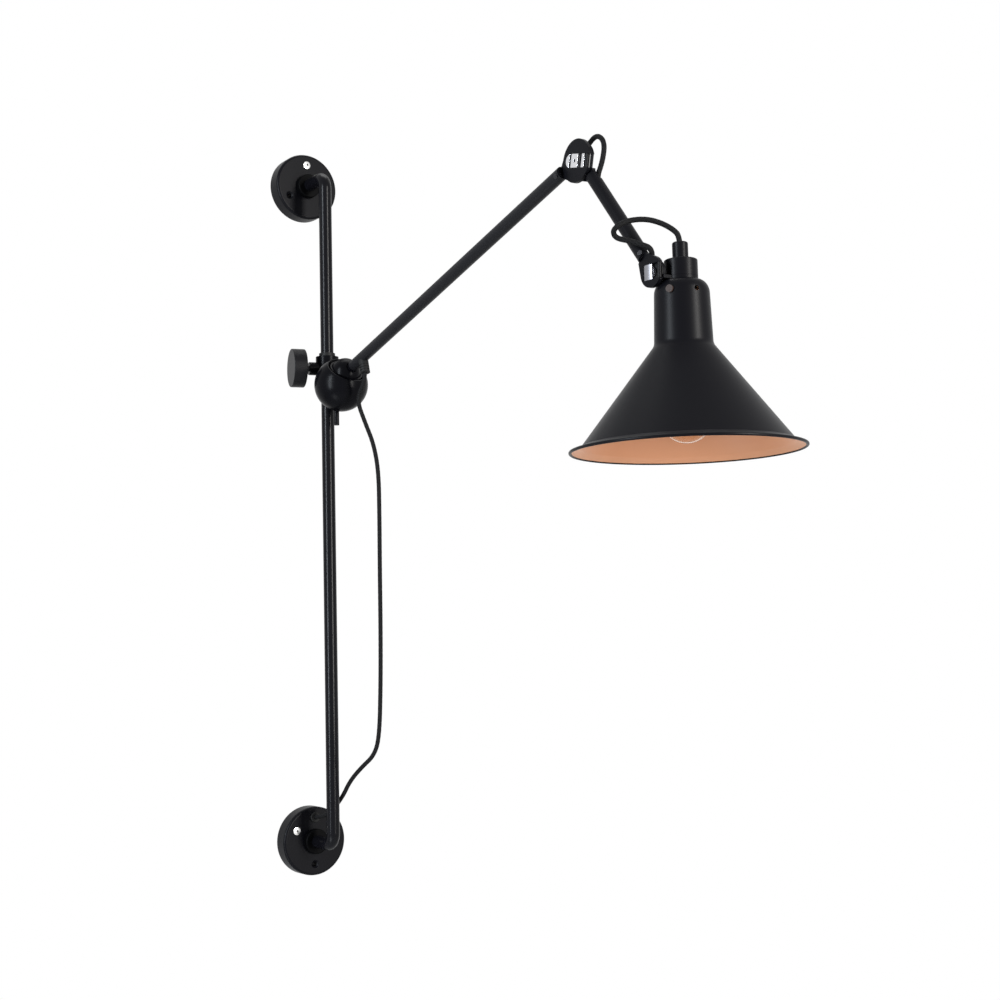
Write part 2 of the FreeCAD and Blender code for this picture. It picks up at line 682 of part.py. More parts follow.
def head(w):
    axis_at = w + V(upper_x + head_side, -head_out, 0)

    def on_head(shape):
        return lift(shape, w, head_tilt_deg)

    ear_x = jaw2_far + face_gap + washer_t
    bore = cyl(pivot_d / 2 + run_gap, cut_len, w - X * cut_len / 2, X)
    washer = cyl(wrist_washer_r, washer_t, w + X * (jaw2_far + face_gap), X)
    below = w.z + bracket_top - bracket_t
    washer = washer.cut(box(0, ear_x, w.y - cut_len, w.y + cut_len, below - cut_len, below))
    export("wrist_washer", on_head(washer.cut(bore)))

    low = w.z + bracket_top - bracket_t
    high = w.z + bracket_top
    ear = cyl(ear_r, ear_t, w + X * ear_x, X)
    ear = ear.cut(box(0, cut_len, w.y - cut_len, w.y + cut_len, low - cut_len, low))
    foot = box(ear_x, axis_at.x, w.y - foot_half, w.y + foot_half, low, high)
    nut_room = cyl(wrist_nut_af / math.sqrt(3) + free_gap, wrist_nut_h + 1, w + X * (ear_x + ear_t), X)
    plate = cyl(cap_d / 2, bracket_t, V(axis_at.x, axis_at.y, low), Z)
    bracket = ear.fuse(foot).fuse(plate).cut(bore).cut(nut_room)
    screw_way = cyl(nipple_d / 2, cut_len, V(axis_at.x, axis_at.y, w.z - cut_len / 2), Z)
    export("head_bracket", on_head(bracket.cut(screw_way)))

    cap_c = V(axis_at.x, axis_at.y, high)
    cap = cyl(cap_d / 2, cap_h, cap_c, Z)
    cap = cap.makeFillet(cap_round, [e for e in cap.Edges if e.BoundBox.ZMin > high + cap_h - 0.01])
    cap = cap.cut(cyl(cap_d / 2 - cap_wall, cap_h - cap_wall, cap_c, Z))
    cap = cap.cut(cyl(nipple_bore / 2, cap_h * 2, cap_c, Z))
    export("holder_cap", on_head(cap))
    gland_c = cap_c + Z * cap_h
    gland = cyl(gland_d / 2, gland_h, gland_c, Z)
    gland_end = gland_c.z + gland_h - 0.01
    gland = gland.makeFillet(gland_round, [e for e in gland.Edges if e.BoundBox.ZMin > gland_end])
    export("cable_gland", on_head(gland.cut(cyl(cable_r, gland_h, gland_c, Z))))
    nipple_top = cap_c + Z * (cap_h - cap_wall)
    nipple = ring(nipple_d / 2, nipple_bore / 2, nipple_len, nipple_top, -Z)
    export("holder_nipple", on_head(nipple))

    centre = V(axis_at.x, axis_at.y, w.z)
    outer = shade_solid(0)
    shell = outer.cut(shade_solid(shade_t))
    top = bracket_top - bracket_t
    shell = shell.cut(cyl(nipple_d / 2, shade_t * 4, V(0, 0, top - shade_t * 3), Z))
    in_r = shade_lip_r - shade_t - free_gap
    lip = [(in_r, shade_lip_z), (shade_lip_r, shade_lip_z), (rim_r - rim_bead, rim_z + 2 * rim_bead)]
    lip += [(rim_r - rim_bead, rim_z + rim_bead * lip_dip), (in_r + lip_t / 2, shade_lip_z - lip_t)]
    shell = shell.fuse(turned(lip, V(0, 0, 0), Z))
    bead = Part.makeTorus(rim_r - rim_bead, rim_bead, V(0, 0, rim_z + rim_bead), Z)
    shell = shell.fuse(bead)
    screws = []
    for i, deg in enumerate((shade_screw_deg, shade_screw_deg + 180)):
        a = math.radians(deg)
        way = V(math.cos(a), math.sin(a), 0)
        head_at = V(0, 0, screw_z) + way * (shade_neck_r - face_gap)
        head_part = cyl(shade_screw_head_d / 2, shade_screw_head_h, head_at, way)
        head_part = head_part.cut(outer)
        inner_end = V(0, 0, screw_z) + way * (shade_neck_r - shade_screw_in)
        shank = cyl(shade_screw_d / 2, shade_screw_in + shade_screw_head_h / 2, inner_end, way)
        shell = shell.cut(shank)
        screws.append(head_part.fuse(shank))
    a = math.radians(shade_vent_deg)
    shell = shell.cut(cyl(vent_d / 2, shade_neck_r * 2, V(0, 0, screw_z), V(math.cos(a), math.sin(a), 0)))
    for i, piece in enumerate(screws):
        piece.translate(centre)
        export("shade_screw_%d" % (i + 1), on_head(piece))
    shell.translate(centre)
    export("shade", on_head(shell))

    def along(z):
        return centre + Z * z

    holder_top = top - shade_t
    holder = cyl(holder_d / 2, holder_top - holder_end, along(holder_end), Z)
    holder = holder.cut(cyl(nipple_d / 2, cut_len, along(bracket_top + cap_h - cap_wall - nipple_len), Z))
    holder = holder.cut(cyl(socket_d / 2, socket_deep, along(holder_end), Z))
    export("lampholder", on_head(holder))
    base = cyl(socket_d / 2, bulb_base_top - bulb_neck_z, along(bulb_neck_z), Z)
    export("bulb_base", on_head(base))
    globe_r = bulb_d / 2
    globe = Part.makeSphere(globe_r, along(bulb_tip + globe_r))
    join_z = bulb_tip + globe_r * (1 + bulb_join)
    join_r = math.sqrt(globe_r ** 2 - (globe_r * bulb_join) ** 2)
    cone = Part.makeCone(join_r, bulb_neck_d / 2, bulb_neck_z - join_z, along(join_z), Z)
    hollow = Part.makeSphere(globe_r - bulb_wall, along(bulb_tip + globe_r))
    hole_from = along(join_z - globe_r / 2)
    hollow = hollow.fuse(cyl(bulb_hole_d / 2, bulb_neck_z - join_z + globe_r, hole_from, Z))
    export("bulb_glass", on_head(globe.fuse(cone).cut(hollow)))
    return lift_point(gland_c + Z * gland_h, w, head_tilt_deg), lift_point(gland_c, w, head_tilt_deg)


ferrule_exit = 7.0
ferrule_inside = ferrule_exit * 0.55 / 0.45
cable_offset = 2.6
cable_in = 32.0
cable_out = 28.0

os.makedirs("parts", exist_ok=True)
rosette("top", V(0, 0, 0), top_hole_deg, False)
rosette("bottom", V(0, 0, -rosette_spacing), bottom_hole_deg, True)
wall_bar()
block_face = cable_entry()
slider()
clamp()
ball_joint()
lower_arm()
elbow_at = lift_point(elbow_flat, ball_c, lower_deg)
wrist_at = upper_arm(elbow_at)
gland_top, gland_foot = head(wrist_at)


def lower_spot(u, w):
    return lift_point(ball_c + OUT * u + Z * w, ball_c, lower_deg)


low_run = [block_face, V(0, -31, block_face.z), V(7, -47, -697), V(12, -62, -681), V(12.5, -79, -664)]
low_run += [V(12.5, -103, -646.5), V(12.5, -129, -629), V(12, -144.5, -605), V(11.6, -149.5, -560)]
high_run = [V(11.2, -152, -500), V(10.8, -153, -440), V(10.2, -155, -385), V(9.5, -156, -338)]
high_run += [V(8, -149, -308), V(5, -136.5, -284), V(1, -125.5, -257.5)]
ferrule_run = [lower_spot(ferrule_at, -ferrule_drop - ferrule_exit)]
ferrule_run += [lower_spot(ferrule_at, ferrule_inside - ferrule_drop)]
cord("power_cable", low_run + high_run + ferrule_run)

tube_mouth = lift_point(elbow_at + V(upper_x + cable_offset, -cable_in, 0), elbow_at, upper_deg)
cord("elbow_loop", [lift_point(p, ball_c, lower_deg) for p in elbow_route()] + [tube_mouth])

tube_foot = lift_point(elbow_at + V(upper_x + cable_offset, cable_out - upper_len, 0), elbow_at, upper_deg)
fold = [(3.7, 11.5, 13.3), (5.0, 3.8, 15.4), (0.7, 1.9, 21.9), (-5.6, 9.5, 24.4), (-12.9, 16.6, 28.1)]
fold += [(-20.5, 25.3, 31.3), (-25.2, 23.8, 36.5), (-23.2, 18.6, 41.2), (-12.0, 16.0, 46.2), (0.0, 8.0, 47.0)]
fold += [(11.0, 1.5, 43.0), (18.5, -4.2, 36.5)]
points = [tube_foot] + [wrist_at + V(upper_x + x, y, z) for x, y, z in fold]
entry = gland_top + (gland_top - gland_foot) * (5.0 / gland_h)
cord("head_loop", points + [entry, gland_foot + (gland_top - gland_foot) * 0.6])
print("elbow", elbow_at, "wrist", wrist_at, "ball", ball_c, "gland", gland_top)
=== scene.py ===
import json
import math

import bmesh
import bpy
from mathutils import Matrix, Vector


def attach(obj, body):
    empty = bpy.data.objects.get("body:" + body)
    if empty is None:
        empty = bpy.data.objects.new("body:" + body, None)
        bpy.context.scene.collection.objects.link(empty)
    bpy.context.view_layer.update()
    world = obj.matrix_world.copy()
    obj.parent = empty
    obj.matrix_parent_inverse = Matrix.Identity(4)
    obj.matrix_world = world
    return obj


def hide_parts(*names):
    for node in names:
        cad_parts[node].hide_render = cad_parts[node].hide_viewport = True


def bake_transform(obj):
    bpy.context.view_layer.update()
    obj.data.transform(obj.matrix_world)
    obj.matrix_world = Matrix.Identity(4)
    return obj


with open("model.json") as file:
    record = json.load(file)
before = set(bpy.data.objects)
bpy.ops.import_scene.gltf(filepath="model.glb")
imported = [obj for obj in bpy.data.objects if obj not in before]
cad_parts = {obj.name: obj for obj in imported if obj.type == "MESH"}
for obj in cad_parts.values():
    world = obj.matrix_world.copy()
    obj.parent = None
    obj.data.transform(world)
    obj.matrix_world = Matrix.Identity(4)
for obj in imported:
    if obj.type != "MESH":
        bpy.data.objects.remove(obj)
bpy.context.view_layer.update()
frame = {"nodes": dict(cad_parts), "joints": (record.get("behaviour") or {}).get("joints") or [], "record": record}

scene = bpy.context.scene
mm = 0.001
pivots = {joint["name"]: Vector(joint["pos_m"]) for joint in frame["joints"] if "pos_m" in joint}
bodyOf = {node: body for body, group in frame["record"]["behaviour"]["bodies"].items() for node in group}


def newObject(name, mesh):
    obj = bpy.data.objects.new(name, mesh)
    scene.collection.objects.link(obj)
    return obj


def bakeModifiers(obj):
    graph = bpy.context.evaluated_depsgraph_get()
    flat = bpy.data.meshes.new_from_object(obj.evaluated_get(graph), preserve_all_data_layers=True, depsgraph=graph)
    obj.modifiers.clear()
    old = obj.data
    obj.data = flat
    bpy.data.meshes.remove(old)
    flat.name = obj.name


def objectFrom(name, shape):
    mesh = bpy.data.meshes.new(name)
    shape.to_mesh(mesh)
    shape.free()
    return newObject(name, mesh)


# takes the cutter's shape out of a piece
def cutAway(obj, shape):
    cutter = objectFrom("cutter", shape)
    cut = obj.modifiers.new("cut", "BOOLEAN")
    cut.operation = "DIFFERENCE"
    cut.solver = "EXACT"
    cut.object = cutter
    bakeModifiers(obj)
    bpy.data.objects.remove(cutter)


# edges that turn by more than this many degrees stay sharp
sharpDegs = dict(solid=35, turned=30, glass=50, cable=60)


def softShade(obj, kind):
    obj.data.shade_smooth()
    obj.data.set_sharp_from_angle(angle=math.radians(sharpDegs[kind]))


def seatPiece(obj, body, slot, *nodes):
    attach(obj, body)
    if nodes:
        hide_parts(*nodes)


# camera at the photograph's viewpoint, in a square frame
cameraSet = dict(
    eye=(-0.79716, -1.59227, -0.50739),
    ahead=(0.55328, 0.82885, 0.08303),
    right=(0.83253, -0.55354, -0.02195),
    lens=56.72,
    sensor=36.0,
    farClip=20.0,
)


def addCamera():
    data = bpy.data.cameras.new("camera")
    data.lens = cameraSet["lens"]
    data.sensor_width = cameraSet["sensor"]
    data.clip_end = cameraSet["farClip"]
    obj = newObject("camera", data)
    ahead = Vector(cameraSet["ahead"]).normalized()
    right = Vector(cameraSet["right"]).normalized()
    up = right.cross(ahead)
    turn = Matrix((right, up, -ahead)).transposed().to_4x4()
    obj.matrix_world = Matrix.Translation(cameraSet["eye"]) @ turn
    scene.camera = obj


addCamera()
print("camera placed")


# shader helpers
def addNode(tree, kind, where, **settings):
    node = tree.nodes.new(kind)
    node.location = where
    for key, value in settings.items():
        setattr(node, key, value)
    return node


def makeGroup(name, inputs, outputs, kind="ShaderNodeTree"):
    group = bpy.data.node_groups.new(name, kind)
    for label, socketType, value in inputs:
        socket = group.interface.new_socket(name=label, in_out="INPUT", socket_type=socketType)
        if value is not None:
            socket.default_value = value
    for label, socketType in outputs:
        group.interface.new_socket(name=label, in_out="OUTPUT", socket_type=socketType)
    return group, addNode(group, "NodeGroupInput", (-900, 0)), addNode(group, "NodeGroupOutput", (950, 0))


def mathNode(tree, operation, where, first, second=None):
    node = addNode(tree, "ShaderNodeMath", where, operation=operation)
    for socket, value in zip(node.inputs, (first, second)):
        if value is None:
            continue
        if isinstance(value, (int, float)):
            socket.default_value = value
        else:
            tree.links.new(value, socket)
    return node.outputs[0]


def noiseOf(tree, where, vector, scale, detail=2.0):
    node = addNode(tree, "ShaderNodeTexNoise", where)
    node.inputs["Detail"].default_value = detail
    tree.links.new(vector, node.inputs["Vector"])
    if isinstance(scale, float):
        node.inputs["Scale"].default_value = scale
    else:
        tree.links.new(scale, node.inputs["Scale"])
    return node.outputs["Fac"]


def mixColour(tree, where, factor, first, second):
    node = addNode(tree, "ShaderNodeMix", where, data_type="RGBA")
    for i, value in ((0, factor), (6, first), (7, second)):
        tree.links.new(value, node.inputs[i])
    return node.outputs[2]


skinInputs = [
    ("Vector", "NodeSocketVector", None),
    ("Tone", "NodeSocketColor", (0.02, 0.02, 0.02, 1)),
    ("Pale", "NodeSocketColor", (0.03, 0.03, 0.03, 1)),
    ("Grain", "NodeSocketFloat", 1500.0),
    ("Gloss", "NodeSocketFloat", 0.45),
    ("Spread", "NodeSocketFloat", 0.12),
]
skinOutputs = [("Color", "NodeSocketColor"), ("Roughness", "NodeSocketFloat"), ("Height", "NodeSocketFloat")]


def closeSkin(group, made, tone, gloss, height):
    for label, value in (("Color", tone), ("Roughness", gloss), ("Height", height)):
        group.links.new(value, made.inputs[label])
    return group


# sprayed and cured coat: fine orange peel, broad drift of tone and gloss
coat = dict(peelDetail=3.0, driftScale=9.0, driftDetail=4.0)


def coatSkin():
    group, given, made = makeGroup("coatSkin", skinInputs, skinOutputs)
    at = given.outputs
    peel = noiseOf(group, (-600, 200), at["Vector"], at["Grain"], coat["peelDetail"])
    drift = noiseOf(group, (-600, -200), at["Vector"], coat["driftScale"], coat["driftDetail"])
    tone = mixColour(group, (200, 200), drift, at["Tone"], at["Pale"])
    both = mathNode(group, "ADD", (-300, -200), drift, peel)
    centred = mathNode(group, "SUBTRACT", (-100, -200), both, 1.0)
    swing = mathNode(group, "MULTIPLY", (100, -200), centred, at["Spread"])
    gloss = mathNode(group, "ADD", (300, -200), swing, at["Gloss"])
    return closeSkin(group, made, tone, gloss, peel)


# turned or rolled metal: fine lines one way, faint stains
metal = dict(stretch=(1.0, 0.06, 1.0), lineDetail=4.0, stainScale=160.0)


def metalSkin():
    group, given, made = makeGroup("metalSkin", skinInputs, skinOutputs)
    at = given.outputs
    stretch = addNode(group, "ShaderNodeMapping", (-750, 200))
    stretch.inputs["Scale"].default_value = metal["stretch"]
    group.links.new(at["Vector"], stretch.inputs["Vector"])
    lines = noiseOf(group, (-550, 200), stretch.outputs["Vector"], at["Grain"], metal["lineDetail"])
    stain = noiseOf(group, (-550, -200), at["Vector"], metal["stainScale"])
    tone = mixColour(group, (200, 200), stain, at["Tone"], at["Pale"])
    centred = mathNode(group, "SUBTRACT", (-100, -200), lines, 0.5)
    swing = mathNode(group, "MULTIPLY", (100, -200), centred, at["Spread"])
    gloss = mathNode(group, "ADD", (300, -200), swing, at["Gloss"])
    return closeSkin(group, made, tone, gloss, lines)


cable = dict(diameter=4.6 * mm, sides=24, ringStep=0.6 * mm, yarns=6, yarnPitch=6.0 * mm, relief=0.09 * mm,
             fuzzDetail=5.0)


# textile sleeve: two sets of yarns that cross, read from the cable's own UV map
def braidSkin():
    group, given, made = makeGroup("braidSkin", skinInputs, skinOutputs)
    at = given.outputs
    split = addNode(group, "ShaderNodeSeparateXYZ", (-750, 0))
    group.links.new(at["Vector"], split.inputs["Vector"])
    around = mathNode(group, "MULTIPLY", (-600, 100), split.outputs["X"], cable["yarns"] * 2 * math.pi)
    along = mathNode(group, "MULTIPLY", (-600, -100), split.outputs["Y"], 2 * math.pi / cable["yarnPitch"])
    rising = mathNode(group, "SINE", (-300, 100), mathNode(group, "ADD", (-450, 100), around, along))
    falling = mathNode(group, "SINE", (-300, -100), mathNode(group, "SUBTRACT", (-450, -100), around, along))
    over = mathNode(group, "MAXIMUM", (-150, 0), rising, falling)
    half = mathNode(group, "MULTIPLY", (0, 0), over, 0.5)
    yarn = mathNode(group, "ADD", (150, 0), half, 0.5)
    fuzz = noiseOf(group, (-300, -400), at["Vector"], at["Grain"], cable["fuzzDetail"])
    share = mathNode(group, "MULTIPLY", (250, 150), yarn, fuzz)
    tone = mixColour(group, (450, 200), share, at["Tone"], at["Pale"])
    swing = mathNode(group, "MULTIPLY", (250, -200), fuzz, at["Spread"])
    gloss = mathNode(group, "ADD", (450, -200), swing, at["Gloss"])
    return closeSkin(group, made, tone, gloss, yarn)


skins = dict(coat=coatSkin(), metal=metalSkin(), braid=braidSkin())

coatBase = dict(skin="coat", depth=0.1 * mm, metallic=0.0)
metalBase = dict(skin="metal", depth=0.05 * mm, metallic=1.0, specular=0.5)
finishes = dict(
    satinBlack=dict(coatBase, tone=(0.0018, 0.0018, 0.0026), pale=(0.0030, 0.0030, 0.0042), grain=1400, gloss=0.36,
                    spread=0.08, bump=0.05, specular=0.060),
    # painted light: a lighter copy of the satin black, used on the lower tube only
    armBlack=dict(coatBase, tone=(0.0050, 0.0050, 0.0060), pale=(0.0075, 0.0075, 0.0088), grain=1400, gloss=0.40,
                  spread=0.08, bump=0.05, specular=0.090),
    deepBlack=dict(coatBase, tone=(0.0006, 0.0006, 0.0008), pale=(0.0012, 0.0012, 0.0014), grain=900, gloss=0.50,
                   spread=0.08, bump=0.05, specular=0.030),
    glossBlack=dict(coatBase, tone=(0.0020, 0.0020, 0.0028), pale=(0.0032, 0.0032, 0.0044), grain=1400, gloss=0.23,
                    spread=0.06, bump=0.04, specular=0.085),
    # painted shade: a darker, less reflective copy of the gloss black, for the ball housing and its small parts
    housingBlack=dict(coatBase, tone=(0.0012, 0.0012, 0.0018), pale=(0.0022, 0.0022, 0.0032), grain=1400, gloss=0.27,
                      spread=0.06, bump=0.04, specular=0.045),
    knobBlack=dict(coatBase, tone=(0.0018, 0.0018, 0.0024), pale=(0.0034, 0.0034, 0.0042), grain=900, gloss=0.42,
                   spread=0.12, bump=0.08, specular=0.11),
    mouldedBlack=dict(coatBase, tone=(0.005, 0.005, 0.005), pale=(0.008, 0.008, 0.008), grain=700, gloss=0.50,
                      spread=0.10, bump=0.08, specular=0.12),
    rubberBlack=dict(coatBase, tone=(0.005, 0.005, 0.005), pale=(0.009, 0.009, 0.009), grain=1100, gloss=0.58,
                     spread=0.12, bump=0.12, specular=0.12),
    textileBlack=dict(coatBase, skin="braid", tone=(0.002, 0.002, 0.002), pale=(0.012, 0.012, 0.013), grain=900,
                      gloss=0.62, spread=0.18, bump=0.35, depth=0.12 * mm, specular=0.07),
    copperCoat=dict(coatBase, tone=(0.45, 0.195, 0.090), pale=(0.50, 0.235, 0.125), grain=600, gloss=0.40,
                    spread=0.10, bump=0.05, specular=0.28),
    brightChrome=dict(metalBase, tone=(0.62, 0.63, 0.65), pale=(0.72, 0.72, 0.74), grain=2600, gloss=0.16,
                      spread=0.10, bump=0.04),
    greySteel=dict(metalBase, tone=(0.20, 0.20, 0.22), pale=(0.27, 0.27, 0.29), grain=2200, gloss=0.36,
                   spread=0.12, bump=0.05),
    zincSteel=dict(metalBase, tone=(0.52, 0.52, 0.51), pale=(0.66, 0.66, 0.65), grain=1800, gloss=0.30,
                   spread=0.16, bump=0.06),
    darkSteel=dict(metalBase, tone=(0.025, 0.025, 0.028), pale=(0.045, 0.045, 0.048), grain=1800, gloss=0.34,
                   spread=0.16, bump=0.06),
    blackSteel=dict(coatBase, tone=(0.0035, 0.0035, 0.0040), pale=(0.0060, 0.0060, 0.0068), grain=1200, gloss=0.42,
                    spread=0.10, bump=0.05, specular=0.09),
    brownSteel=dict(coatBase, tone=(0.016, 0.008, 0.006), pale=(0.026, 0.014, 0.010), grain=1800, gloss=0.48,
                    spread=0.16, bump=0.06, depth=0.05 * mm, specular=0.16),
    nickelBrass=dict(metalBase, tone=(0.62, 0.50, 0.28), pale=(0.72, 0.60, 0.36), grain=1500, gloss=0.30,
                     spread=0.14, bump=0.05),
)


def makeFinish(name):
    want = finishes[name]
    material = bpy.data.materials.new(name)
    material.use_nodes = True
    tree = material.node_tree
    shader = tree.nodes["Principled BSDF"]
    place = addNode(tree, "ShaderNodeTexCoord", (-900, 0))
    skin = addNode(tree, "ShaderNodeGroup", (-600, 0), node_tree=skins[want["skin"]])
    spot = "UV" if want["skin"] == "braid" else "Object"
    tree.links.new(place.outputs[spot], skin.inputs["Vector"])
    skin.inputs["Tone"].default_value = (*want["tone"], 1)
    skin.inputs["Pale"].default_value = (*want["pale"], 1)
    for label in ("Grain", "Gloss", "Spread"):
        skin.inputs[label].default_value = want[label.lower()]
    relief = addNode(tree, "ShaderNodeBump", (-300, -300))
    relief.inputs["Strength"].default_value = want["bump"]
    relief.inputs["Distance"].default_value = want["depth"]
    tree.links.new(skin.outputs["Height"], relief.inputs["Height"])
    tree.links.new(skin.outputs["Color"], shader.inputs["Base Color"])
    tree.links.new(skin.outputs["Roughness"], shader.inputs["Roughness"])
    tree.links.new(relief.outputs["Normal"], shader.inputs["Normal"])
    shader.inputs["Metallic"].default_value = want["metallic"]
    shader.inputs["Specular IOR Level"].default_value = want["specular"]
    return material


glass = dict(tone=(1.0, 0.93, 0.82), bending=1.15, wipeScale=60.0, haze=0.08)


def makeGlass():
    material = bpy.data.materials.new("clearGlass")
    material.use_nodes = True
    tree = material.node_tree
    shader = tree.nodes["Principled BSDF"]
    shader.inputs["Base Color"].default_value = (*glass["tone"], 1)
    shader.inputs["Transmission Weight"].default_value = 1.0
    shader.inputs["IOR"].default_value = glass["bending"]
    place = addNode(tree, "ShaderNodeTexCoord", (-900, 0))
    wipe = noiseOf(tree, (-700, 0), place.outputs["Object"], glass["wipeScale"])
    haze = mathNode(tree, "MULTIPLY", (-450, 0), wipe, glass["haze"])
    tree.links.new(haze, shader.inputs["Roughness"])
    return material


materials = {name: makeFinish(name) for name in finishes}
materials["clearGlass"] = makeGlass()
print("finishes:", len(materials))


# cables: each route is one smooth spline shaped by listed control points, in metres
powerRoute = [
    (0.0000, -0.0113, -0.7060), (0.0000, -0.0310, -0.7060), (0.0070, -0.0470, -0.6970), (0.0120, -0.0620, -0.6810),
    (0.0125, -0.0775, -0.6640), (0.0125, -0.1035, -0.6480), (0.0125, -0.1325, -0.6335), (0.0120, -0.1445, -0.6130),
    (0.0116, -0.1495, -0.5600), (0.0112, -0.1520, -0.5000), (0.0108, -0.1530, -0.4400), (0.0102, -0.1550, -0.3850),
    (0.0095, -0.1560, -0.3380), (0.0080, -0.1490, -0.3080), (0.0050, -0.1365, -0.2840), (0.0010, -0.1255, -0.2575),
    (0.0000, -0.1496, -0.2394), (0.0000, -0.1453, -0.2245),
]
elbowRoute = [
    (0.0000, -0.4792, -0.1187), (0.0016, -0.4879, -0.1145), (0.0072, -0.4981, -0.1066), (0.0122, -0.5108, -0.0982),
    (0.0150, -0.5238, -0.0892), (0.0158, -0.5372, -0.0818), (0.0156, -0.5487, -0.0915), (0.0140, -0.5468, -0.1085),
    (0.0106, -0.5420, -0.1227), (0.0104, -0.5471, -0.1300),
]
headRoute = [
    (0.0104, -0.6008, -0.1982), (0.0111, -0.6056, -0.2080), (0.0120, -0.6122, -0.2064), (0.0082, -0.6148, -0.1992),
    (0.0022, -0.6087, -0.1957), (-0.0043, -0.6016, -0.1920), (-0.0101, -0.5929, -0.1888), (-0.0148, -0.5944, -0.1842),
    (-0.0130, -0.5996, -0.1797), (-0.0036, -0.6022, -0.1751), (0.0078, -0.6102, -0.1743), (0.0188, -0.6167, -0.1779),
    (0.0263, -0.6225, -0.1838), (0.0298, -0.6257, -0.1896), (0.0298, -0.6259, -0.2006),
]


def routeLine(points):
    curve = bpy.data.curves.new("route", "CURVE")
    curve.dimensions = "3D"
    spline = curve.splines.new("NURBS")
    spline.points.add(len(points) - 1)
    for knot, place in zip(spline.points, points):
        knot.co = (*place, 1)
    spline.order_u = 3
    spline.use_endpoint_u = True
    spline.resolution_u = 32
    obj = newObject("route", curve)
    bpy.context.view_layer.update()
    thread = bpy.data.meshes.new_from_object(obj)
    line = [v.co.copy() for v in thread.vertices]
    bpy.data.objects.remove(obj)
    bpy.data.curves.remove(curve)
    bpy.data.meshes.remove(thread)
    return line


# rings at an even step along the spline's own points, with frames that don't twist
def cableRings(line, step):
    spans = [(b - a).length for a, b in zip(line, line[1:])]
    count = max(2, round(sum(spans) / step))
    gap = sum(spans) / count
    places = [line[0]]
    i = 0
    used = 0.0
    for k in range(1, count):
        left = gap * k
        while used + spans[i] < left:
            used += spans[i]
            i += 1
        places.append(line[i].lerp(line[i + 1], (left - used) / spans[i]))
    places.append(line[-1])
    rings = []
    side = Vector((1, 0, 0))
    for k, place in enumerate(places):
        ahead = (places[min(k + 1, count)] - places[max(k - 1, 0)]).normalized()
        side = (side - ahead * side.dot(ahead)).normalized()
        rings.append((place, side.copy(), ahead.cross(side), gap * k))
    return rings


def cableTube(name, rings):
    shape = bmesh.new()
    wrap = shape.loops.layers.uv.new("UVMap")
    sides = cable["sides"]
    radius = cable["diameter"] / 2 - cable["relief"]
    rows = []
    for place, side, lift, far in rings:
        row = []
        for k in range(sides):
            turn = 2 * math.pi * k / sides
            rise = math.sin(cable["yarns"] * turn + 2 * math.pi * far / cable["yarnPitch"])
            fall = math.sin(cable["yarns"] * turn - 2 * math.pi * far / cable["yarnPitch"])
            reach = radius + cable["relief"] * max(rise, fall)
            row.append(shape.verts.new(place + (side * math.cos(turn) + lift * math.sin(turn)) * reach))
        rows.append(row)
    for r in range(len(rows) - 1):
        for k in range(sides):
            n = (k + 1) % sides
            face = shape.faces.new((rows[r][k], rows[r][n], rows[r + 1][n], rows[r + 1][k]))
            corners = ((k, r), (k + 1, r), (k + 1, r + 1), (k, r + 1))
            for loop, (around, row) in zip(face.loops, corners):
                loop[wrap].uv = (around / sides, rings[row][3])
    shape.faces.new(list(reversed(rows[0])))
    shape.faces.new(rows[-1])
    obj = objectFrom(name, shape)
    obj.data.materials.append(materials["textileBlack"])
    softShade(obj, "cable")
    return obj


def cableStretch(name, rings, bodies, nodes):
    obj = cableTube(name, rings)
    if len(bodies) == 2:
        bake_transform(obj)
    else:
        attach(obj, bodies[0])
    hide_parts(*nodes)


# the power cable follows one joint after the other and is cut at the listed heights, one stretch for each pair of
# bodies;
# a turned stretch names its bodies from the far end; the bend ends worked out for each stretch, from its own ends
# or from two control points' numbers, are not used, and a stretch that spans two bodies stays where it is drawn
powerStretches = dict(
    names=("power_cable_foot", "power_cable_rise", "power_cable_turn", "power_cable_dip", "power_cable_end"),
    bodies=(("root", "bush"), ("bush", "slider"), ("slider", "seat"), ("ball", "seat"), ("ball", "lower_arm")),
    turned=(False, False, False, True, False),
    heights=(-0.470, -0.335, -0.298, -0.262),
    footBend=(1, 6),
)


def addPowerCable():
    rings = cableRings(routeLine(powerRoute), cable["ringStep"])
    cuts = [0]
    for height in powerStretches["heights"]:
        cuts.append(next(k for k, ring in enumerate(rings) if ring[0].z > height))
    cuts.append(len(rings) - 1)
    for i, name in enumerate(powerStretches["names"]):
        part = rings[cuts[i]:cuts[i + 1] + 1]
        bend = (part[0][0], part[-1][0])
        if i == 0:
            bend = [powerRoute[k] for k in powerStretches["footBend"]]
        if powerStretches["turned"][i]:
            bend = (bend[1], bend[0])
        cableStretch(name, part, powerStretches["bodies"][i], ["power_cable"])


def addLoops():
    rings = cableRings(routeLine(elbowRoute), cable["ringStep"])
    cableStretch("elbow_cable", rings, ("lower_arm", "upper_arm"), ["elbow_loop"])
    rings = cableRings(routeLine(headRoute), cable["ringStep"])
    leftmost = min(range(len(rings)), key=lambda k: rings[k][0].x)
    cableStretch("head_cable_foot", rings[:leftmost + 1], ("upper_arm",), ["head_loop"])
    cableStretch("head_cable_arch", rings[leftmost:], ("upper_arm", "head"), ["head_loop"])


addPowerCable()
addLoops()


# painted shade on the bright pivots: their sunk faces get a dark finish, those whose middle lies in a box given in
# millimetres and that face -X by at least this share
shadedSunkFaces = dict(
    elbow_pivot=dict(finish="glossBlack", low=(0.8, -600, -200), high=(3.4, -450, 0), facing=0.5),
    wrist_pivot=dict(finish="glossBlack", low=(-5, -650, -260), high=(40, -619.4, -180), facing=-1.1),
)


